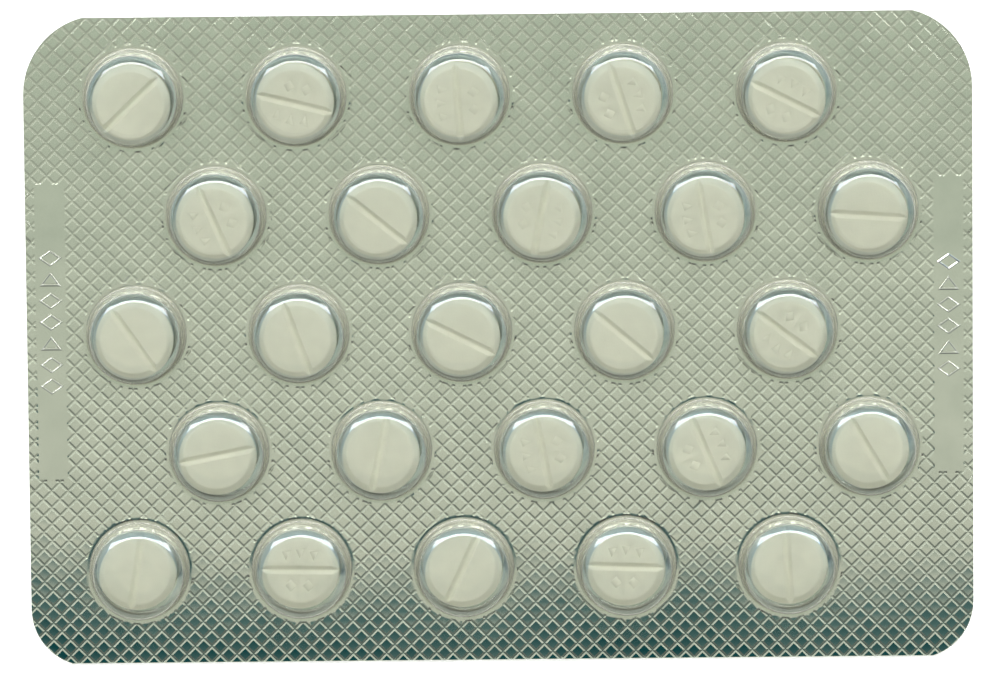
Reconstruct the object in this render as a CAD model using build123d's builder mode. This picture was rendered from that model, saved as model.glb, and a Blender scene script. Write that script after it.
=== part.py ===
"""Push-through blister pack: a clear formed film of staggered round pockets, its foil lid and the tablets.

The pack lies on its foil with the pockets up. +X runs along the long side, +Y towards the edge with the
larger corner radii, and the origin is at the centre of the foil's underside.
"""

import os
from math import cos, radians, sin

from build123d import *

os.makedirs("parts", exist_ok=True)

# Card outline, shared by the film and the foil lid
card_length = 102.5
card_width = 70.5
upper_corner_radius = 8.6
lower_corner_radius = 6.3
slit_inset = 0.3

# Foil lid and formed film
foil_thickness = 0.03
film_thickness = 0.25
pocket_wall = 0.16
pocket_roof = 0.20

# Tablets
tablet_diameter = 8.6
tablet_thickness = 3.2
score_width = 0.9
score_depth = 0.35

# Room that the pocket leaves round and above its tablet
side_clearance = 0.54
head_clearance = 0.55

# Pocket pattern: every second row is set over by half a pitch, and the whole pattern lies a little off centre
row_count = 5
pockets_per_row = 5
column_pitch = 17.65
row_pitch = 12.9
pattern_shift_x = 0.27
pattern_shift_y = 0.7

# Plain panels along the short edges, which the sealing tool leaves standing above the sealed land
panel_length = 32.2
panel_width = 3.1
panel_edge_margin = 1.05
panel_offset_y = 1.1
panel_relief = 0.05

# How each tablet has turned in its pocket: the direction of its score line in degrees, top row first
score_directions = (
    (44, -14, -86, 108, 153),
    (-66, -39, 79, -80, -4),
    (125, 110, -27, -40, -37),
    (11, 78, -79, 113, 121),
    (81, 179, 65, 178, 93),
)

# How far the loose tablets have slid in their pockets, as shares of the side clearance: all towards -X, and
# each row along Y, top row first
slide_share = -0.3
row_drift_shares = (-0.87, -0.52, -0.37, 0.09, 0.7)

# Heights and radii that follow from the sizes above
film_base_z = foil_thickness
film_face_z = film_base_z + film_thickness
pocket_ceiling_z = foil_thickness + tablet_thickness + head_clearance
pocket_top_z = pocket_ceiling_z + pocket_roof
tablet_radius = tablet_diameter / 2
pocket_inner_radius = tablet_radius + side_clearance
pocket_outer_radius = pocket_inner_radius + pocket_wall


def pocket_centre(row, column):
    """Centre of one pocket, counting rows down from the top edge and columns from the left."""
    stagger = column_pitch / 4 if row % 2 else -column_pitch / 4
    x = (column - (pockets_per_row - 1) / 2) * column_pitch + stagger + pattern_shift_x
    y = ((row_count - 1) / 2 - row) * row_pitch + pattern_shift_y
    return x, y


def tablet_plane(row, column):
    """The foil's upper face under one tablet, with its x direction along the score line."""
    x, y = pocket_centre(row, column)
    slide = slide_share * side_clearance
    drift = row_drift_shares[row % len(row_drift_shares)] * side_clearance
    directions = score_directions[row % len(score_directions)]
    turn = radians(directions[column % len(directions)])
    return Plane(origin=(x + slide, y + drift, foil_thickness), x_dir=(cos(turn), sin(turn), 0), z_dir=(0, 0, 1))


pocket_centres = [pocket_centre(row, column) for row in range(row_count) for column in range(pockets_per_row)]

# Rounded card whose long edges are slit just inside the corner arcs, which leaves a faint kink at each end
with BuildSketch() as card_outline:
    Rectangle(card_length, card_width + 2 * slit_inset)
    fillet(card_outline.vertices().group_by(Axis.Y)[-1], upper_corner_radius)
    fillet(card_outline.vertices().group_by(Axis.Y)[0], lower_corner_radius)
    Rectangle(card_length, card_width, mode=Mode.INTERSECT)

# Foil lid
with BuildPart() as lidding_foil:
    with BuildSketch():
        add(card_outline.sketch)
    extrude(amount=foil_thickness)
lidding_foil.part.label = "lidding_foil"
export_step(lidding_foil.part, "parts/lidding_foil.step")

# Formed film: a flat flange with hollow thin-walled pockets, and a plain panel beside each short edge
with BuildPart() as blister_film:
    with BuildSketch(Plane.XY.offset(film_base_z)):
        add(card_outline.sketch)
    extrude(amount=film_thickness)
    with BuildSketch(Plane.XY.offset(film_face_z)):
        with Locations(*pocket_centres):
            Circle(pocket_outer_radius)
    extrude(amount=pocket_top_z - film_face_z)
    panel_x = card_length / 2 - panel_edge_margin - panel_width / 2
    with BuildSketch(Plane.XY.offset(film_face_z)):
        with Locations((-panel_x, panel_offset_y), (panel_x, panel_offset_y)):
            Rectangle(panel_width, panel_length)
    extrude(amount=panel_relief)
    with BuildSketch(Plane.XY.offset(film_base_z)):
        with Locations(*pocket_centres):
            Circle(pocket_inner_radius)
    extrude(amount=pocket_ceiling_z - film_base_z, mode=Mode.SUBTRACT)
blister_film.part.label = "blister_film"
export_step(blister_film.part, "parts/blister_film.step")

# Tablets: each rests on the foil in its own pocket, scored across its upper face
for row in range(row_count):
    for column in range(pockets_per_row):
        seat = tablet_plane(row, column)
        score_section = Plane(
            origin=seat.offset(tablet_thickness).origin, x_dir=seat.y_dir, z_dir=seat.x_dir
        )
        with BuildPart() as tablet:
            with BuildSketch(seat):
                Circle(tablet_radius)
            extrude(amount=tablet_thickness)
            with BuildSketch(score_section):
                with BuildLine():
                    Polyline((-score_width / 2, 0), (0, -score_depth), (score_width / 2, 0), close=True)
                make_face()
            extrude(amount=tablet_diameter, both=True, mode=Mode.SUBTRACT)
        tablet_name = f"tablet_r{row + 1}c{column + 1}"
        tablet.part.label = tablet_name
        export_step(tablet.part, f"parts/{tablet_name}.step")
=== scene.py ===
"""Looks of the pill blister pack: knurled foil lid, clear formed film and scored tablets, in a studio."""
import math
import random

import bmesh
import bpy
from mathutils import Matrix, Vector
from mathutils.geometry import delaunay_2d_cdt


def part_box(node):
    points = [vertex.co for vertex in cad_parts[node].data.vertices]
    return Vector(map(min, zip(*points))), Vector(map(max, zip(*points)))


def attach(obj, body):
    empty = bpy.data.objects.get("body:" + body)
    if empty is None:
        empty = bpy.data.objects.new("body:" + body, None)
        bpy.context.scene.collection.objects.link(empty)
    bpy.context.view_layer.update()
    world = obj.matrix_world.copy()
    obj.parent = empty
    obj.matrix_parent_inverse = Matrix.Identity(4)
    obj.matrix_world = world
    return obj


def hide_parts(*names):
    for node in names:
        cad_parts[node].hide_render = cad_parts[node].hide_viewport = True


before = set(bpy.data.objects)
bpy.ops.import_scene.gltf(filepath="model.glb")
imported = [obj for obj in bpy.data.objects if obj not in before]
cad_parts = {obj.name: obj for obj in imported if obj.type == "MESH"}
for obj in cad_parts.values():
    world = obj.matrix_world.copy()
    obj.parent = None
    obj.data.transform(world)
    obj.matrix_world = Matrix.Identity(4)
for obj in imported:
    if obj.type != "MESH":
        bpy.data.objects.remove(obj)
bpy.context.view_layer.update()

# Lengths below are in millimetres; meshes are written in metres
MM = 0.001

# A hair's breadth and next to nothing, for comparisons
hair = 0.01
nothing = 1e-9

# Distance within which points are joined, and the tolerance of the triangulation
merge_distance = 0.0004
mesh_tolerance = 1e-6

# The card and its layers
foil_low, foil_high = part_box("lidding_foil")
film_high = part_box("blister_film")[1]
card_length = (foil_high[0] - foil_low[0]) / MM
card_width = (foil_high[1] - foil_low[1]) / MM
pocket_top = film_high[2] / MM
upper_corner_radius = 8.6
lower_corner_radius = 6.3
slit_inset = 0.3
foil_thickness = 0.03
film_thickness = 0.25
layer_gap = 0.004

# Knurl of the seal: square dished pads at 45 degrees between shallow grooves
knurl_pitch = 1.28
pad_half = 0.43
groove_bottom_half = 0.61
groove_depth = 0.039
pad_dish = 0.0002
pad_tilt = 0.0006
film_relief_share = 0.02
plain_ring_radius = 5.75
ring_fade = 0.2
ring_dip = 0.0065
lean_seed_step = 1009

# Creases sharper than these angles, in degrees, stay sharp on the land and on the pockets
land_crease = 2.5
pocket_crease = 57.3

# Slight waves of the sealed sheet: their height, and each wave's lengths along X and Y and its start
undulation_height = 0.005
long_wave = (9.0, 13.0, 0.6)
short_wave = (5.3, 7.7, 2.1)
short_wave_share = 0.5

# Heights of the land's layers
foil_face = foil_thickness + groove_depth
land_base = foil_face + layer_gap
land_face = land_base + film_thickness

# Pocket pattern and section
row_count = 5
pockets_per_row = 5
column_pitch = 17.65
row_pitch = 12.9
pattern_shift_x = 0.27
pattern_shift_y = 0.7
pocket_segments = 56
foot_radius = 5.5
foot_fillet = 0.5
wall_lean = 80.0
roof_radius = 3.6
shoulder_radius = 1.4
shoulder_slope = 30.0
corner_radius = 0.3
outer_corner = 4.99
inner_corner = 4.83
roof_thickness = 0.20
roof_dish = 0.006
inner_bend_less = 0.15
inner_rounding_less = 0.12
foot_steps = 5
corner_steps = 4
bend_steps = 6
base_grid = 3.0
base_margin = 0.5

# Foot of a pocket's inner surface: distance inside the wall's foot, and height above the film's base
inner_foot = ((0.0, 0.04), (0.12, 0.22))

# Foil under a pocket: radius, and share of the land's height that it keeps there
floor_rings = ((foot_radius - 0.2, 0.7), (foot_radius - 0.5, 0.0), (2.4, 0.0))

# Where the formed film turns dull on its walls, and where its shoulders take a painted bluish reflection, as
# radii from the pocket's centre
dull_inner = (4.75, 4.9)
dull_outer = (5.42, 5.52)
# Painted bluish reflection on the shoulders: where it begins, how it grows towards each pocket's far (+Y)
# side, and the share that it keeps on the near side
painted_reflection_inner = (4.15, 4.3)
painted_reflection_far_side = (-0.5, 0.3)
painted_reflection_near_share = 0.35
wall_haze = 0.22

# Plain panels beside the short edges, with their embossed marks
panel_x = 48.65
panel_y = 1.1
panel_length = 32.2
panel_width = 3.1
panel_fade = 0.2
panel_marks_left_y = 9.2
panel_marks_right_y = 7.9
panel_marks_left_count = 7
panel_marks_right_count = 6
panel_mark_pitch = 2.33
panel_mark_stroke = 0.28
panel_mark_height = 0.027
deep_mark_height = 0.045
panel_wedge = (0.95, 0.62)
panel_lozenge = (1.1, 0.78)

# Tablets
tablet_low, tablet_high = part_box("tablet_r1c1")
tablet_radius = (tablet_high[0] - tablet_low[0]) / 2 / MM
tablet_segments = 96
bevel_width = 0.7
bevel_depth = 0.38
bevel_rounding = 0.06
score_half_width = 0.45
score_depth = 0.35
mark_depth = 0.08
mark_stroke = 0.24
tablet_lozenge = (0.66, 0.74)
tablet_wedge = (0.52, 0.58)
tablet_lozenge_places = ((-0.95, 1.72), (0.95, 1.72))
tablet_wedge_places = ((-1.5, -1.5), (0.0, -1.75), (1.5, -1.5))

# Mesh lines of a tablet's upper face: rings inside its edge, and lines beside the middle of its score
edge_rings = (0.0, 0.05, 0.2, 0.4, 0.6, 0.68, 0.76, 0.95)
score_lines = (-0.52, -0.45, -0.38, -0.2, -0.05, 0.05, 0.2, 0.38, 0.45, 0.52)
score_line_steps = 24
score_line_margin = 0.1

# A tablet's side and underside: distance inside its edge, and height
tablet_side = (
    (0.0, bevel_depth),
    (0.05, bevel_depth - 0.05),
    (0.6, 0.05),
    (0.68, 0.01),
    (0.76, 0.0),
    (1.6, 0.0),
)

# How each tablet has turned: the direction of its score line in degrees, top row first
score_directions = (
    (44, -14, -86, 108, 153),
    (-66, -39, 79, -80, -4),
    (125, 110, -27, -40, -37),
    (11, 78, -79, 113, 121),
    (81, 179, 65, 178, 93),
)
# Columns of the tablets that lie with their marked face up, by row
marked_columns = {1: (2, 3, 4, 5), 2: (1, 3, 4), 3: (5,), 4: (3, 4), 5: (2, 4)}

# Camera
camera_distance = 900.0
camera_tilt = math.radians(7.0)
camera_roll = math.radians(0.55)
image_width_px = 1000
card_width_px = 945.4
sensor_width = 36.0
nearest_seen = 0.01
farthest_seen = 10.0

# Floor
floor_half = 900.0
floor_level = -0.05
floor_tone = 0.86
floor_glow = 0.5

# Studio light. A slope is how far a direction leans from upright, as a tangent
strip_near, strip_far = 0.67, 1.08
strip_strength = 10.5
faint_near = 0.54
faint_strength = 1.9
strip_half_width = 1.2
lowest_up = 0.02
west_gain = -0.3
west_start = -0.015
west_most = 0.012


def grid_place(x, y):
    """A point's place, rounded so that points which fall together are found."""
    return round(x, 4), round(y, 4)


def smooth_step(low, high, value):
    """0 below low, 1 above high and a smooth rise between."""
    share = min(max((value - low) / (high - low), 0.0), 1.0)
    return share * share * (3 - 2 * share)


def pocket_centre(row, column):
    """Centre of one pocket, with rows counted down from the top and columns from the left, both from 0."""
    stagger = column_pitch / 4 if row % 2 else -column_pitch / 4
    x = (column - (pockets_per_row - 1) / 2) * column_pitch + stagger + pattern_shift_x
    return x, ((row_count - 1) / 2 - row) * row_pitch + pattern_shift_y


pocket_centres = [pocket_centre(row, column) for row in range(row_count) for column in range(pockets_per_row)]


def nearest_pocket(x, y):
    """Centre of the pocket nearest to a point."""
    row = min(max(round((row_count - 1) / 2 - (y - pattern_shift_y) / row_pitch), 0), row_count - 1)
    rows = {row, max(row - 1, 0), min(row + 1, row_count - 1)}
    near = []
    for r in rows:
        first_x = pocket_centre(r, 0)[0]
        column = min(max(round((x - first_x) / column_pitch), 0), pockets_per_row - 1)
        near.append(pocket_centre(r, column))
    return min(near, key=lambda centre: math.hypot(x - centre[0], y - centre[1]))


def pocket_distance(x, y):
    """Distance from a point of the card to the nearest pocket's centre."""
    px, py = nearest_pocket(x, y)
    return math.hypot(x - px, y - py)


def panel_distance(x, y):
    """Signed distance from a point to the nearer plain panel's outline, negative inside it."""
    across = abs(abs(x) - panel_x) - panel_width / 2
    along = abs(y - panel_y) - panel_length / 2
    return max(across, along)


def knurl_share(x, y):
    """How fully the knurl is pressed at a point: 0 on the plain rings and panels, 1 on the sealed land."""
    panel = smooth_step(0.0, panel_fade, panel_distance(x, y))
    if panel == 0:
        return 0.0
    px, py = nearest_pocket(x, y)
    ring = smooth_step(plain_ring_radius, plain_ring_radius + ring_fade, math.hypot(x - px, y - py))
    return ring * panel


def undulation(x, y):
    """Slight unevenness of the sealed sheet, in millimetres."""
    long_part = math.sin(x / long_wave[0] + y / long_wave[1] + long_wave[2])
    short_part = math.sin(x / short_wave[0] - y / short_wave[1] + short_wave[2])
    return undulation_height * (long_part + short_part * short_wave_share + (1 + short_wave_share))


def dip(x, y):
    """How far the sheets are drawn down at the foot of a pocket."""
    return ring_dip * (1 - smooth_step(foot_radius, plain_ring_radius, pocket_distance(x, y)))


def card_outline(arc_steps=12):
    """Points of the card's outline, anticlockwise, with the long edges slit just inside the corner arcs."""
    half_length, half_width = card_length / 2, card_width / 2
    points = []
    for radius, sign_x, sign_y, first in (
        (lower_corner_radius, 1, -1, -90),
        (upper_corner_radius, 1, 1, 0),
        (upper_corner_radius, -1, 1, 90),
        (lower_corner_radius, -1, -1, 180),
    ):
        centre_x = sign_x * (half_length - radius)
        centre_y = sign_y * (half_width + slit_inset - radius)
        kink = math.degrees(math.acos((radius - slit_inset) / radius))
        start = first + (kink if first in (-90, 90) else 0)
        end = first + 90 - (kink if first in (0, 180) else 0)
        for step in range(arc_steps + 1):
            angle = math.radians(start + (end - start) * step / arc_steps)
            points.append((centre_x + radius * math.cos(angle), centre_y + radius * math.sin(angle)))
    return points


outline = card_outline()
outline_edges = list(zip(outline, outline[1:] + outline[:1]))


def outline_depth(x, y):
    """How far inside the card's outline a point lies, negative outside it."""
    return min(
        ((bx - ax) * (y - ay) - (by - ay) * (x - ax)) / math.hypot(bx - ax, by - ay)
        for (ax, ay), (bx, by) in outline_edges
    )


def clip_to_outline(polygon):
    """Part of a convex polygon that lies inside the card's outline."""
    for (ax, ay), (bx, by) in outline_edges:
        kept = []
        for here, after in zip(polygon, polygon[1:] + polygon[:1]):
            side_here = (bx - ax) * (here[1] - ay) - (by - ay) * (here[0] - ax)
            side_after = (bx - ax) * (after[1] - ay) - (by - ay) * (after[0] - ax)
            if side_here >= 0:
                kept.append(here)
            if (side_here >= 0) != (side_after >= 0):
                share = side_here / (side_here - side_after)
                kept.append(tuple(h + (a - h) * share for h, a in zip(here, after)))
        polygon = kept
        if len(polygon) < 3:
            return []
    return polygon


def tile_centre(i, j):
    """Centre of one knurl tile; the lattice runs at 45 degrees to the card's edges."""
    a, b = (i + 0.5) * knurl_pitch, (j + 0.5) * knurl_pitch
    return (a - b) * math.sqrt(0.5), (a + b) * math.sqrt(0.5)


def tile_at(x, y):
    """Numbers of the knurl tile that holds a point."""
    root = math.sqrt(0.5)
    return math.floor((x + y) * root / knurl_pitch), math.floor((y - x) * root / knurl_pitch)


pad_leans = {}


def pad_lean(tile):
    """Slight random slope of one pad."""
    if tile not in pad_leans:
        chance = random.Random(tile[0] * lean_seed_step + tile[1])
        pad_leans[tile] = (chance.uniform(-pad_tilt, pad_tilt), chance.uniform(-pad_tilt, pad_tilt))
    return pad_leans[tile]


def knurl_height(x, y):
    """Height of the knurled face against the pads' edges: a shallow dish on each pad, and grooves between."""
    share = knurl_share(x, y)
    if share == 0:
        return 0.0
    tile = tile_at(x, y)
    cx, cy = tile_centre(*tile)
    root = math.sqrt(0.5)
    reach = max(abs(x - cx + y - cy), abs(y - cy - x + cx)) * root
    if reach < pad_half + 0.1 * hair:
        lean_x, lean_y = pad_lean(tile)
        return share * (pad_dish * (reach / pad_half - 1) + (x - cx) * lean_x + (y - cy) * lean_y)
    fall = min((reach - pad_half) / (groove_bottom_half - pad_half), 1.0)
    return -share * fall * groove_depth


def tile_ring(centre, half):
    """Four corners of a square about a tile's centre, turned by 45 degrees."""
    reach = half * math.sqrt(2)
    x, y = centre
    return [(x + reach, y), (x, y + reach), (x - reach, y), (x, y - reach)]


def tile_polygons(centre):
    """Polygons of one knurl tile: four about the dished middle, then the groove's wall and its bottom."""
    rings = [tile_ring(centre, half) for half in (pad_half, groove_bottom_half, knurl_pitch / 2)]
    polygons = [[centre, rings[0][k], rings[0][(k + 1) % 4]] for k in range(4)]
    for inner, outer in zip(rings, rings[1:]):
        polygons += [[inner[k], outer[k], outer[(k + 1) % 4], inner[(k + 1) % 4]] for k in range(4)]
    return polygons


class Plan:
    """Plan mesh of the card: points, and faces as lists of point numbers."""

    def __init__(self):
        self.points = []
        self.faces = []
        self.index = {}

    def point(self, x, y):
        """Number of the point at a place, a new one where there is none yet."""
        key = grid_place(x, y)
        if key not in self.index:
            self.index[key] = len(self.points)
            self.points.append(key)
        return self.index[key]

    def face(self, polygon):
        """Adds a polygon, without corners that fall together."""
        numbers = []
        for x, y in polygon:
            number = self.point(x, y)
            if number not in numbers:
                numbers.append(number)
        if len(numbers) >= 3:
            self.faces.append(numbers)


class Constraints:
    """Points and edges for a constrained triangulation."""

    def __init__(self):
        self.points = []
        self.numbers = {}
        self.edges = set()

    def point(self, x, y):
        """Number of the point at a place, a new one where there is none yet."""
        key = grid_place(x, y)
        if key not in self.numbers:
            self.numbers[key] = len(self.points)
            self.points.append(key)
        return self.numbers[key]

    def chain(self, points, closed=True):
        """Adds edges along a row of points."""
        ids = [self.point(x, y) for x, y in points]
        for a, b in zip(ids, ids[1:] + (ids[:1] if closed else [])):
            if a != b:
                self.edges.add((min(a, b), max(a, b)))

    def triangles(self):
        """Corner points of each triangle of the triangulation."""
        result = delaunay_2d_cdt([Vector(p) for p in self.points], sorted(self.edges), [], 0, mesh_tolerance)
        return [[(result[0][k].x, result[0][k].y) for k in corners] for corners in result[2]]


def lozenge_shape(half_x, half_y):
    """Corner points of a lozenge."""
    return [(half_x, 0.0), (0.0, half_y), (-half_x, 0.0), (0.0, -half_y)]


def wedge_shape(half_x, half_y):
    """Corner points of a flat triangle that points to +Y."""
    return [(half_x, -half_y), (0.0, half_y), (-half_x, -half_y)]


def mark_loops(shape, x, y, stroke):
    """Three nested loops of one outlined shape: its outer edge, its middle line and its inner edge."""
    size = min(math.hypot(px, py) for px, py in shape)
    loops = []
    for offset in (stroke / 2, 0.0, -stroke / 2):
        factor = 1 + offset / size
        loops.append([(x + px * factor, y + py * factor) for px, py in shape])
    return loops


def panel_marks():
    """Nested loops of the plain shapes embossed in the panels."""
    marks = []
    left = (-1, panel_marks_left_y, panel_marks_left_count)
    right = (1, panel_marks_right_y, panel_marks_right_count)
    for side, first_y, count in (left, right):
        for k in range(count):
            shape = wedge_shape(*panel_wedge) if k % 3 == 1 else lozenge_shape(*panel_lozenge)
            marks.append(mark_loops(shape, side * panel_x, first_y - panel_mark_pitch * k, panel_mark_stroke))
    return marks


def circle_points(centre, radius, count):
    """Points of a circle, anticlockwise from +X."""
    turns = [2 * math.pi * k / count for k in range(count)]
    return [(centre[0] + radius * math.cos(t), centre[1] + radius * math.sin(t)) for t in turns]


def neighbours(tile):
    """The four tiles beside a tile."""
    i, j = tile
    return ((i + 1, j), (i - 1, j), (i, j + 1), (i, j - 1))


def shared_side(tile, other):
    """End points of the side between two tiles."""
    right, top, left, bottom = tile_ring(tile_centre(*tile), knurl_pitch / 2)
    sides = {(1, 0): (right, top), (0, 1): (top, left), (-1, 0): (left, bottom), (0, -1): (bottom, right)}
    return sides[(other[0] - tile[0], other[1] - tile[1])]


def build_plan():
    """Plan mesh of the whole land: knurl tiles out to the card's edge, and plain rings and panels between."""
    plan = Plan()
    kept, gaps = set(), set()
    span = int((card_length + card_width) / knurl_pitch)
    half_diagonal = knurl_pitch * math.sqrt(0.5)
    for i in range(-span, span):
        for j in range(-span, span):
            x, y = tile_centre(i, j)
            if abs(x) > card_length / 2 + knurl_pitch or abs(y) > card_width / 2 + knurl_pitch:
                continue
            distance = pocket_distance(x, y)
            if distance < foot_radius - half_diagonal:
                continue
            near_pocket = distance < plain_ring_radius + ring_fade + half_diagonal + hair
            if near_pocket or panel_distance(x, y) < half_diagonal + panel_fade:
                gaps.add((i, j))
                continue
            kept.add((i, j))
            near_edge = outline_depth(x, y) < half_diagonal + hair
            for polygon in tile_polygons((x, y)):
                plan.face(clip_to_outline(polygon) if near_edge else polygon)
    while gaps:
        group, fresh = set(), [gaps.pop()]
        while fresh:
            tile = fresh.pop()
            group.add(tile)
            for other in neighbours(tile):
                if other in gaps:
                    gaps.remove(other)
                    fresh.append(other)
        fill_gap(plan, group, kept)
    return plan


def circle_crossings(start, end, centre, radius):
    """Where a line crosses a circle, as shares of the line."""
    step = (end[0] - start[0], end[1] - start[1])
    off = (start[0] - centre[0], start[1] - centre[1])
    a = step[0] ** 2 + step[1] ** 2
    b = off[0] * step[0] + off[1] * step[1]
    root = b * b - a * (off[0] ** 2 + off[1] ** 2 - radius**2)
    if root <= 0:
        return []
    return [(-b - math.sqrt(root)) / a, (-b + math.sqrt(root)) / a]


def panel_crossings(start, end, margin):
    """Where a line crosses the sides of the nearer plain panel, grown by a margin, as shares of the line."""
    middle = (math.copysign(panel_x, start[0]), panel_y)
    half = (panel_width / 2 + margin, panel_length / 2 + margin)
    cuts = []
    for k in (0, 1):
        step = end[k] - start[k]
        if abs(step) > nothing:
            cuts += [(middle[k] + side * half[k] - start[k]) / step for side in (-1, 1)]
    return cuts


def clear_parts(start, end):
    """Parts of one lattice edge that lie clear of the pockets' feet and of the plain panels."""
    cuts = [0.0, 1.0]
    if min(panel_distance(*start), panel_distance(*end)) < panel_fade:
        cuts += panel_crossings(start, end, 0.0) + panel_crossings(start, end, panel_fade)
    for centre in {nearest_pocket(*start), nearest_pocket(*end)}:
        for radius in (plain_ring_radius, plain_ring_radius + ring_fade):
            cuts += circle_crossings(start, end, centre, radius)
    cuts = sorted(cut for cut in cuts if 0 <= cut <= 1)
    points = [(start[0] + (end[0] - start[0]) * t, start[1] + (end[1] - start[1]) * t) for t in cuts]
    parts = []
    for here, after in zip(points, points[1:]):
        middle = ((here[0] + after[0]) / 2, (here[1] + after[1]) / 2)
        if math.dist(here, after) > hair and knurl_share(*middle) > 0:
            parts.append((here, after))
    return parts


def middle_of(corners):
    """Middle of a triangle."""
    return sum(c[0] for c in corners) / 3, sum(c[1] for c in corners) / 3


def inside_foot(x, y):
    """Whether a triangle's middle lies inside the many-sided foot of a pocket."""
    return pocket_distance(x, y) < foot_radius * math.cos(math.pi / pocket_segments)


def fill_gap(plan, group, kept):
    """Fills one gap between the whole knurl tiles: round a pocket's foot, and over a panel with its marks."""
    net = Constraints()
    pockets, crosses_edge, has_panel = set(), False, False
    for tile in sorted(group):
        centre = tile_centre(*tile)
        crosses_edge = crosses_edge or outline_depth(*centre) < knurl_pitch
        has_panel = has_panel or panel_distance(*centre) < 0
        if pocket_distance(*centre) < foot_radius + knurl_pitch:
            pockets.add(nearest_pocket(*centre))
        for other in neighbours(tile):
            if other in kept:
                net.chain(shared_side(tile, other), False)
        rings = [tile_ring(centre, half) for half in (pad_half, groove_bottom_half, knurl_pitch / 2)]
        edges = [shared_side(tile, other) for other in neighbours(tile) if other not in kept]
        edges += [(ring[k], ring[(k + 1) % 4]) for ring in rings[:2] for k in range(4)]
        edges += [(rings[0][k], rings[1][k]) for k in range(4)]
        edges += [(rings[1][k], rings[2][k]) for k in range(4)]
        edges += [(centre, rings[0][k]) for k in range(4)]
        for edge in edges:
            for part in clear_parts(*sorted(edge)):
                net.chain(part, False)
    for centre in sorted(pockets):
        net.chain(circle_points(centre, foot_radius, pocket_segments))
    if has_panel:
        side = math.copysign(1, tile_centre(*min(group))[0])
        half_x, half_y = panel_width / 2, panel_length / 2
        corners = [(half_x, -half_y), (half_x, half_y), (-half_x, half_y), (-half_x, -half_y)]
        net.chain([(side * panel_x + x, panel_y + y) for x, y in corners])
        for loops in panel_marks():
            if loops[0][0][0] * side > 0:
                for loop in loops:
                    net.chain(loop)
    if crosses_edge:
        net.chain(outline)
    for corners in net.triangles():
        x, y = middle_of(corners)
        if tile_at(x, y) not in group or inside_foot(x, y):
            continue
        if not crosses_edge or outline_depth(x, y) > 0:
            plan.face(corners)


def border_edges(faces):
    """Edges that only one face uses."""
    uses = {}
    for numbers in faces:
        for a, b in zip(numbers, numbers[1:] + numbers[:1]):
            key = (min(a, b), max(a, b))
            uses[key] = None if key in uses else (a, b)
    return [edge for edge in uses.values() if edge]


def shoulder_profile(corner, bend, rounding, top):
    """Upper part of a pocket's profile: rounded corner, sloping shoulder and the bend into the flat roof."""
    slope = math.radians(shoulder_slope)
    slope_end = roof_radius + bend * math.sin(slope)
    slope_end_z = top - bend * (1 - math.cos(slope))
    corner_z = slope_end_z - (corner - slope_end) * math.tan(slope)
    # The corner's arc touches the upright wall and the sloping shoulder
    reach = rounding * math.tan((math.pi / 2 - slope) / 2)
    profile = []
    for step in range(corner_steps + 1):
        angle = (math.pi / 2 - slope) * step / corner_steps
        radius = corner - rounding * (1 - math.cos(angle))
        profile.append((radius, corner_z - reach + rounding * math.sin(angle)))
    for step in range(bend_steps + 1):
        angle = slope * (1 - step / bend_steps)
        profile.append((roof_radius + bend * math.sin(angle), top - bend * (1 - math.cos(angle))))
    profile.append((roof_radius * 0.5, top - roof_dish))
    return profile


def pocket_profile():
    """Outer and inner profiles of a pocket from its foot to its middle, as (radius, height)."""
    wall_foot = foot_radius - foot_fillet
    outer = []
    for step in range(1, foot_steps + 1):
        angle = math.radians(wall_lean * step / foot_steps)
        height = land_face + foot_fillet * (1 - math.cos(angle))
        outer.append((foot_radius - foot_fillet * math.sin(angle), height))
    outer += shoulder_profile(outer_corner, shoulder_radius, corner_radius, pocket_top)
    ceiling = pocket_top - roof_thickness
    bend = shoulder_radius - inner_bend_less
    rounding = corner_radius - inner_rounding_less
    inner = [(wall_foot - inset, land_base + height) for inset, height in inner_foot]
    inner += shoulder_profile(inner_corner, bend, rounding, ceiling)
    return outer, inner


def new_object(name, vertices, faces, smooth=True):
    """Mesh object from points in millimetres."""
    mesh = bpy.data.meshes.new(name)
    mesh.from_pydata([(x * MM, y * MM, z * MM) for x, y, z in vertices], [], faces)
    mesh.validate()
    mesh.update()
    if smooth:
        mesh.shade_smooth()
    thing = bpy.data.objects.new(name, mesh)
    bpy.context.collection.objects.link(thing)
    return thing


def sharpen_knurl(thing, land_from):
    """Joins points that fall together, and keeps creases sharp from this distance to a pocket's centre on."""
    shape = bmesh.new()
    shape.from_mesh(thing.data)
    bmesh.ops.remove_doubles(shape, verts=shape.verts, dist=merge_distance * MM)
    bmesh.ops.recalc_face_normals(shape, faces=shape.faces)
    for edge in shape.edges:
        middle = (edge.verts[0].co + edge.verts[1].co) / 2 / MM
        on_land = pocket_distance(middle.x, middle.y) > land_from
        crease = math.radians(land_crease if on_land else pocket_crease)
        edge.smooth = len(edge.link_faces) == 2 and edge.calc_face_angle() < crease
    shape.to_mesh(thing.data)
    shape.free()


# The uppermost mark on the right is pressed deeper than the others
raised_points = {}
for number, loops in enumerate(panel_marks()):
    mark_height = deep_mark_height if number == panel_marks_left_count else panel_mark_height
    for point_x, point_y in loops[1]:
        raised_points[grid_place(point_x, point_y)] = mark_height


def foil_height(x, y):
    """Height of the foil's upper face on the land."""
    raised = raised_points.get((x, y), 0.0)
    return foil_face + undulation(x, y) + knurl_height(x, y) - dip(x, y) + raised


def film_height(x, y):
    """Height of the film's upper face on the land."""
    raised = raised_points.get((x, y), 0.0)
    return land_face + undulation(x, y) + film_relief_share * knurl_height(x, y) - dip(x, y) + raised


def stitch_rim(faces, border, offset):
    """Faces that join a sheet's border to the same border of its other side."""
    for a, b in border:
        faces.append([b, a, a + offset, b + offset])


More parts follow.
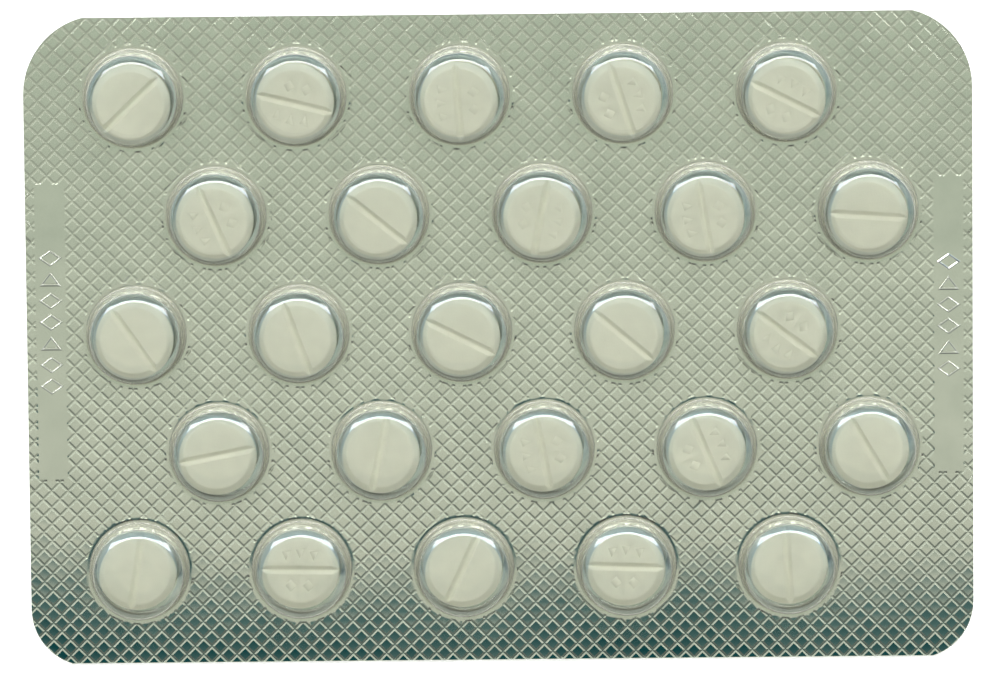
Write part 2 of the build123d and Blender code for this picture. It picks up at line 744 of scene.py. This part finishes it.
def join_rings(faces, ring, inner):
    """Adds the faces between two closed rings of points."""
    count = len(ring)
    faces += [[ring[k], ring[(k + 1) % count], inner[(k + 1) % count], inner[k]] for k in range(count)]


def foot_places(centre):
    """Rounded places of the land points round a pocket's foot."""
    return [grid_place(x, y) for x, y in circle_points(centre, foot_radius, pocket_segments)]


def build_foil(plan):
    """Foil lid: knurled land, and a plain floor under each pocket."""
    upper = [(x, y, foil_height(x, y)) for x, y in plan.points]
    faces = [list(f) for f in plan.faces]
    for centre in pocket_centres:
        ring = [plan.index[place] for place in foot_places(centre)]
        for radius, share in floor_rings:
            inner = []
            for x, y in circle_points(centre, radius, pocket_segments):
                inner.append(len(upper))
                upper.append((x, y, foil_thickness + (foil_face + undulation(x, y) - foil_thickness) * share))
            join_rings(faces, ring, inner)
            ring = inner
        faces.append(ring)
    border = border_edges(faces)
    count = len(upper)
    lower = [(x, y, z - foil_thickness) for x, y, z in upper]
    all_faces = faces + [[n + count for n in reversed(f)] for f in faces]
    stitch_rim(all_faces, border, count)
    foil = new_object("knurled_foil", upper + lower, all_faces)
    sharpen_knurl(foil, foot_radius + hair)
    return foil


def add_pocket_surface(vertices, faces, ring, centre, profile, flip):
    """Adds a pocket's outer or inner surface, from the ring of land points to its middle."""
    count = pocket_segments
    for radius, z in profile:
        start = len(vertices)
        vertices.extend((x, y, z) for x, y in circle_points(centre, radius, count))
        inner = list(range(start, start + count))
        for k in range(count):
            quad = [ring[k], ring[(k + 1) % count], inner[(k + 1) % count], inner[k]]
            faces.append(quad[::-1] if flip else quad)
        ring = inner
    vertices.append((centre[0], centre[1], profile[-1][1]))
    middle = len(vertices) - 1
    for k in range(count):
        triangle = [ring[k], ring[(k + 1) % count], middle]
        faces.append(triangle[::-1] if flip else triangle)


def ordered_loop(border):
    """Point numbers of one closed border, in order."""
    after = dict(border)
    loop = [border[0][0]]
    while after[loop[-1]] != loop[0]:
        loop.append(after[loop[-1]])
    return loop


def build_film(plan):
    """Clear film: land with a faint print of the knurl, and hollow pockets with rounded shoulders."""
    vertices = [(x, y, film_height(x, y)) for x, y in plan.points]
    faces = [list(f) for f in plan.faces]
    rim = [e for e in border_edges(faces) if pocket_distance(*plan.points[e[0]]) > foot_radius + hair]
    loop = ordered_loop(rim)
    base = Constraints()
    base.chain([plan.points[n] for n in loop])
    for centre in pocket_centres:
        base.chain(circle_points(centre, foot_radius, pocket_segments))
    for i in range(int(card_length / base_grid)):
        for j in range(int(card_width / base_grid)):
            x, y = (i + 0.5) * base_grid - card_length / 2, (j + 0.5) * base_grid - card_width / 2
            if pocket_distance(x, y) > foot_radius + base_margin and outline_depth(x, y) > base_margin:
                base.point(x, y)
    lower = Plan()
    for corners in base.triangles():
        if not inside_foot(*middle_of(corners)):
            lower.face(corners)
    count = len(vertices)
    vertices += [(x, y, land_base + undulation(x, y)) for x, y in lower.points]
    faces += [[n + count for n in reversed(f)] for f in lower.faces]
    below = {n: count + lower.index[plan.points[n]] for n in loop}
    for a, b in zip(loop, loop[1:] + loop[:1]):
        faces.append([b, a, below[a], below[b]])
    outer, inner = pocket_profile()
    for centre in pocket_centres:
        foot = foot_places(centre)
        add_pocket_surface(vertices, faces, [plan.index[p] for p in foot], centre, outer, False)
        add_pocket_surface(vertices, faces, [count + lower.index[p] for p in foot], centre, inner, True)
    film = new_object("formed_film", vertices, faces)
    sharpen_knurl(film, foot_radius - 2 * hair)
    mark_stretch(film)
    return film


def mark_stretch(film):
    """Stores how dull the stretched film is on walls and feet, and where a painted bluish reflection lies on
    the upper shoulders.
    """
    dull = film.data.attributes.new("dull", "FLOAT", "POINT")
    painted_blue_reflection = film.data.attributes.new("painted_blue_reflection", "FLOAT", "POINT")
    for number, vertex in enumerate(film.data.vertices):
        x, y = vertex.co.x / MM, vertex.co.y / MM
        px, py = nearest_pocket(x, y)
        radius = math.hypot(x - px, y - py)
        far_side = smooth_step(*painted_reflection_far_side, (y - py) / max(radius, hair))
        wall = smooth_step(*dull_inner, radius)
        dull.data[number].value = wall * (1 - smooth_step(*dull_outer, radius))
        # Painted bluish reflection on the shoulder, stronger on the pocket's far (+Y) side
        shoulder = smooth_step(*painted_reflection_inner, radius) * (1 - wall)
        painted_blue_reflection.data[number].value = shoulder * (painted_reflection_near_share + (1 - painted_reflection_near_share) * far_side)


def tablet_marks():
    """Loops of the plain shapes pressed into a marked tablet: two on one half and three on the other."""
    marks = []
    for x, y in tablet_lozenge_places:
        marks.append(mark_loops(lozenge_shape(*tablet_lozenge), x, y, mark_stroke))
    for x, y in tablet_wedge_places:
        marks.append(mark_loops(wedge_shape(*tablet_wedge), x, y, mark_stroke))
    return marks


def tablet_face_height(x, y, thickness):
    """Height of a tablet's scored face above its underside."""
    past_bevel = math.hypot(x, y) - (tablet_radius - bevel_width)
    rounded = (past_bevel + math.hypot(past_bevel, bevel_rounding)) / 2
    groove = score_depth * (abs(y) / score_half_width - 1)
    return thickness + min(-rounded * bevel_depth / bevel_width, groove)


def tablet_plan(marked):
    """Triangles of a tablet's upper face, with edges along bevel, score and marks, and its pressed points."""
    net = Constraints()
    for inset in edge_rings:
        net.chain(circle_points((0, 0), tablet_radius - inset, tablet_segments))
    for y in score_lines:
        reach = math.sqrt(tablet_radius**2 - y * y) - score_line_margin
        steps = range(score_line_steps + 1)
        net.chain([(-reach + 2 * reach * k / score_line_steps, y) for k in steps], False)
    pressed = set()
    if marked:
        for loops in tablet_marks():
            for loop in loops:
                net.chain(loop)
            pressed.update(grid_place(x, y) for x, y in loops[1])
    plan = Plan()
    for corners in net.triangles():
        plan.face(corners)
    return plan, pressed


def build_tablet(name, row, column, plan, pressed):
    """One tablet, turned and placed where its solid lies."""
    low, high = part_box(name)
    centre_x, centre_y = (low[0] + high[0]) / 2 / MM, (low[1] + high[1]) / 2 / MM
    base, thickness = low[2] / MM, (high[2] - low[2]) / MM
    vertices = []
    for x, y in plan.points:
        sink = mark_depth if (x, y) in pressed else 0.0
        vertices.append((x, y, tablet_face_height(x, y, thickness) - sink))
    faces = [list(f) for f in plan.faces]
    ring = ordered_loop(border_edges(faces))
    for inset, z in tablet_side:
        lower = []
        for n in ring:
            x, y = vertices[n][0], vertices[n][1]
            scale = (tablet_radius - inset) / math.hypot(x, y)
            lower.append(len(vertices))
            vertices.append((x * scale, y * scale, z))
        join_rings(faces, lower, ring)
        ring = lower
    faces.append(ring[::-1])
    turn = math.radians(score_directions[row - 1][column - 1])
    cos_turn, sin_turn = math.cos(turn), math.sin(turn)
    placed = [
        (centre_x + x * cos_turn - y * sin_turn, centre_y + x * sin_turn + y * cos_turn, base + z)
        for x, y, z in vertices
    ]
    return new_object(f"pressed_{name}", placed, faces)


def add_node(tree, kind, **inputs):
    """New shader node with its inputs set by name."""
    node = tree.nodes.new(kind)
    for key, value in inputs.items():
        node.inputs[key.replace("_", " ")].default_value = value
    return node


def new_material(name):
    """Material with a Principled shader, and its node tree."""
    material = bpy.data.materials.new(name)
    material.use_nodes = True
    tree = material.node_tree
    return material, tree, tree.nodes["Principled BSDF"]


def ramp(tree, source, stops):
    """Colour ramp with the given (position, colour) stops, fed by a socket."""
    node = tree.nodes.new("ShaderNodeValToRGB")
    elements = node.color_ramp.elements
    elements[0].position, elements[0].color = stops[0][0], (*stops[0][1], 1.0)
    elements[1].position, elements[1].color = stops[-1][0], (*stops[-1][1], 1.0)
    for position, colour in stops[1:-1]:
        elements.new(position).color = (*colour, 1.0)
    tree.links.new(source, node.inputs["Fac"])
    return node


def noise(tree, scale, detail):
    """Noise texture in object space."""
    place = tree.nodes.new("ShaderNodeTexCoord")
    node = add_node(tree, "ShaderNodeTexNoise", Scale=scale, Detail=detail)
    tree.links.new(place.outputs["Object"], node.inputs["Vector"])
    return node


def bump(tree, source, strength, distance):
    """Bump from a height socket."""
    node = add_node(tree, "ShaderNodeBump", Strength=strength, Distance=distance)
    tree.links.new(source, node.inputs["Height"])
    return node


def foil_material():
    """Bright foil, a little uneven in tone."""
    material, tree, shader = new_material("lid_foil")
    shader.inputs["Metallic"].default_value = 1.0
    shader.inputs["Roughness"].default_value = 0.0
    cloud = noise(tree, scale=220, detail=2.0)
    colour = ramp(tree, cloud.outputs["Fac"], [(0.3, (0.84, 0.86, 0.82)), (0.7, (0.93, 0.94, 0.90))])
    tree.links.new(colour.outputs["Color"], shader.inputs["Base Color"])
    return material


def film_material():
    """Clear, faintly green formed film, dull on its stretched walls, with a painted bluish reflection on its
    shoulders.
    """
    material, tree, shader = new_material("clear_film")
    shader.inputs["IOR"].default_value = 1.53
    dull = tree.nodes.new("ShaderNodeAttribute")
    dull.attribute_name = "dull"
    painted_blue_reflection = tree.nodes.new("ShaderNodeAttribute")
    painted_blue_reflection.attribute_name = "painted_blue_reflection"
    # The film's colour turns dark blue where the painted bluish reflection lies
    clear = ramp(tree, painted_blue_reflection.outputs["Fac"], [(0.0, (0.975, 0.99, 0.965)), (1.0, (0.45, 0.59, 0.71))])
    colour = tree.nodes.new("ShaderNodeMix")
    colour.data_type = "RGBA"
    colour.inputs["B"].default_value = (0.87, 0.87, 0.75, 1.0)
    tree.links.new(dull.outputs["Fac"], colour.inputs["Factor"])
    tree.links.new(clear.outputs["Color"], colour.inputs["A"])
    tree.links.new(colour.outputs["Result"], shader.inputs["Base Color"])
    haze = math_node(tree, "MULTIPLY", dull.outputs["Fac"], wall_haze)
    tree.links.new(haze, shader.inputs["Roughness"])
    passing = math_node(tree, "MULTIPLY_ADD", dull.outputs["Fac"], -wall_haze, 1.0)
    tree.links.new(passing, shader.inputs["Transmission Weight"])
    return material


def tablet_material():
    """Pressed off-white powder: matt, with faint mottling and a fine grain."""
    material, tree, shader = new_material("pressed_powder")
    mottle = noise(tree, scale=700, detail=2.0)
    grain = noise(tree, scale=5200, detail=1.0)
    colour = ramp(tree, mottle.outputs["Fac"], [(0.3, (0.85, 0.83, 0.695)), (0.7, (0.89, 0.87, 0.73))])
    shader.inputs["Roughness"].default_value = 0.72
    shader.inputs["Specular IOR Level"].default_value = 0.3
    relief = bump(tree, grain.outputs["Fac"], strength=0.35, distance=0.03 * MM)
    tree.links.new(colour.outputs["Color"], shader.inputs["Base Color"])
    tree.links.new(relief.outputs["Normal"], shader.inputs["Normal"])
    return material


def dress(thing, material, node):
    """Gives a piece its material, body and slot, and hides the solid that it stands for."""
    thing.data.materials.append(material)
    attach(thing, "root")
    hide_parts(node)


def build_floor():
    """Plain white floor that keeps the pack's shadow."""
    signs = ((-1, -1), (1, -1), (1, 1), (-1, 1))
    corners = [(floor_half * x, floor_half * y, floor_level) for x, y in signs]
    floor = new_object("floor", corners, [[0, 1, 2, 3]], smooth=False)
    material, tree, shader = new_material("white_floor")
    shader.inputs["Base Color"].default_value = (floor_tone, floor_tone, floor_tone, 1.0)
    shader.inputs["Roughness"].default_value = 0.9
    shader.inputs["Specular IOR Level"].default_value = 0.0
    path = tree.nodes.new("ShaderNodeLightPath")
    seen = math_node(tree, "MAXIMUM", path.outputs["Is Camera Ray"], path.outputs["Is Glossy Ray"])
    strength = math_node(tree, "MULTIPLY", seen, floor_glow)
    shader.inputs["Emission Color"].default_value = (1.0, 1.0, 1.0, 1.0)
    tree.links.new(strength, shader.inputs["Emission Strength"])
    floor.data.materials.append(material)


def math_node(tree, operation, first, second=None, third=None):
    """Math node fed by sockets or numbers."""
    node = tree.nodes.new("ShaderNodeMath")
    node.operation = operation
    for socket, value in zip(node.inputs, (first, second, third)):
        if value is None:
            continue
        if isinstance(value, (int, float)):
            socket.default_value = value
        else:
            tree.links.new(value, socket)
    return node.outputs["Value"]


def band(tree, slope, low, high, strength):
    """Even light between two slopes."""
    above = math_node(tree, "GREATER_THAN", slope, low)
    below = math_node(tree, "LESS_THAN", slope, high)
    return math_node(tree, "MULTIPLY", math_node(tree, "MULTIPLY", above, below), strength)


def build_world():
    """Studio surroundings: a broad cream light overhead, a bright strip behind it, and a dark front."""
    world = bpy.data.worlds.new("studio")
    bpy.context.scene.world = world
    world.use_nodes = True
    tree = world.node_tree
    back = tree.nodes["Background"]
    place = tree.nodes.new("ShaderNodeTexCoord")
    split = tree.nodes.new("ShaderNodeSeparateXYZ")
    tree.links.new(place.outputs["Generated"], split.inputs["Vector"])
    up = math_node(tree, "MAXIMUM", split.outputs["Z"], lowest_up)
    north = math_node(tree, "DIVIDE", split.outputs["Y"], up)
    east = math_node(tree, "DIVIDE", split.outputs["X"], up)
    # Towards the left the dark side begins a little nearer
    past_west = math_node(tree, "MULTIPLY_ADD", east, west_gain, west_start)
    west_lift = math_node(tree, "MINIMUM", math_node(tree, "MAXIMUM", past_west, 0.0), west_most)
    shifted = math_node(tree, "SUBTRACT", north, west_lift)
    # Position 0 to 1 stands for a slope of -1 to 1 towards the back of the studio
    place_in_ramp = math_node(tree, "ADD", math_node(tree, "MULTIPLY", shifted, 0.5), 0.5)
    # Each stop is the slope towards the back of the studio in degrees, and the light that comes from there
    stops = [
        (-45.0, (0.60, 0.62, 0.58)),
        (-34.0, (0.12, 0.13, 0.12)),
        (-26.5, (0.13, 0.145, 0.125)),
        (-25.9, (0.25, 0.27, 0.225)),
        (-24.3, (0.37, 0.39, 0.325)),
        (-22.0, (0.35, 0.37, 0.305)),
        (-18.0, (0.22, 0.23, 0.19)),
        (-14.0, (0.060, 0.052, 0.045)),
        (-10.2, (0.058, 0.047, 0.040)),
        (-9.8, (0.004, 0.055, 0.062)),
        (-8.93, (0.005, 0.055, 0.061)),
        (-8.83, (0.17, 0.26, 0.245)),
        (-8.71, (0.55, 0.56, 0.475)),
        (-7.0, (0.525, 0.55, 0.465)),
        (-6.0, (0.475, 0.51, 0.425)),
        (-4.6, (0.455, 0.505, 0.415)),
        (0.0, (0.62, 0.65, 0.54)),
        (8.0, (0.58, 0.61, 0.53)),
        (10.4, (0.64, 0.67, 0.56)),
        (12.5, (0.44, 0.46, 0.38)),
        (18.0, (0.80, 0.82, 0.70)),
        (24.0, (0.80, 0.82, 0.72)),
        (44.0, (0.80, 0.86, 0.86)),
        (45.0, (0.30, 0.42, 0.52)),
    ]
    places = [(0.5 + 0.5 * math.tan(math.radians(slope)), colour) for slope, colour in stops]
    sky = ramp(tree, place_in_ramp, places)
    strip = band(tree, north, strip_near, strip_far, strip_strength)
    faint = band(tree, north, faint_near, strip_near, faint_strength)
    middle = math_node(tree, "LESS_THAN", math_node(tree, "ABSOLUTE", east), strip_half_width)
    strip_light = math_node(tree, "MULTIPLY", math_node(tree, "ADD", strip, faint), middle)
    add_strip = tree.nodes.new("ShaderNodeMix")
    add_strip.data_type = "RGBA"
    add_strip.blend_type = "ADD"
    add_strip.inputs["Factor"].default_value = 1.0
    glow = tree.nodes.new("ShaderNodeCombineColor")
    for name in ("Red", "Green", "Blue"):
        tree.links.new(strip_light, glow.inputs[name])
    tree.links.new(sky.outputs["Color"], add_strip.inputs["A"])
    tree.links.new(glow.outputs["Color"], add_strip.inputs["B"])
    tree.links.new(add_strip.outputs["Result"], back.inputs["Color"])
    back.inputs["Strength"].default_value = 1.0


def build_camera():
    """Long lens looking down on the pack, a little from the far edge, with the photograph's small roll."""
    data = bpy.data.cameras.new("camera")
    pixels_per_mm = card_width_px / card_length
    data.sensor_width = sensor_width
    data.lens = pixels_per_mm * camera_distance / image_width_px * sensor_width
    data.clip_start = nearest_seen
    data.clip_end = farthest_seen
    camera = bpy.data.objects.new("camera", data)
    bpy.context.collection.objects.link(camera)
    eye = Vector((0.0, math.sin(camera_tilt), math.cos(camera_tilt))) * camera_distance * MM
    back = eye.normalized()
    right = Vector((math.cos(camera_roll), -math.sin(camera_roll), 0.0))
    up = back.cross(right).normalized()
    right = up.cross(back).normalized()
    camera.matrix_world = Matrix(
        (
            (right.x, up.x, back.x, eye.x),
            (right.y, up.y, back.y, eye.y),
            (right.z, up.z, back.z, eye.z),
            (0, 0, 0, 1),
        )
    )
    bpy.context.scene.camera = camera


card_plan = build_plan()
dress(build_foil(card_plan), foil_material(), "lidding_foil")
dress(build_film(card_plan), film_material(), "blister_film")
powder = tablet_material()
plain_plan = tablet_plan(False)
marked_plan = tablet_plan(True)
for row in range(1, row_count + 1):
    for column in range(1, pockets_per_row + 1):
        node_name = f"tablet_r{row}c{column}"
        plan, pressed = marked_plan if column in marked_columns[row] else plain_plan
        dress(build_tablet(node_name, row, column, plan, pressed), powder, node_name)

build_floor()
build_world()
build_camera()
bpy.context.scene.view_settings.view_transform = "Standard"
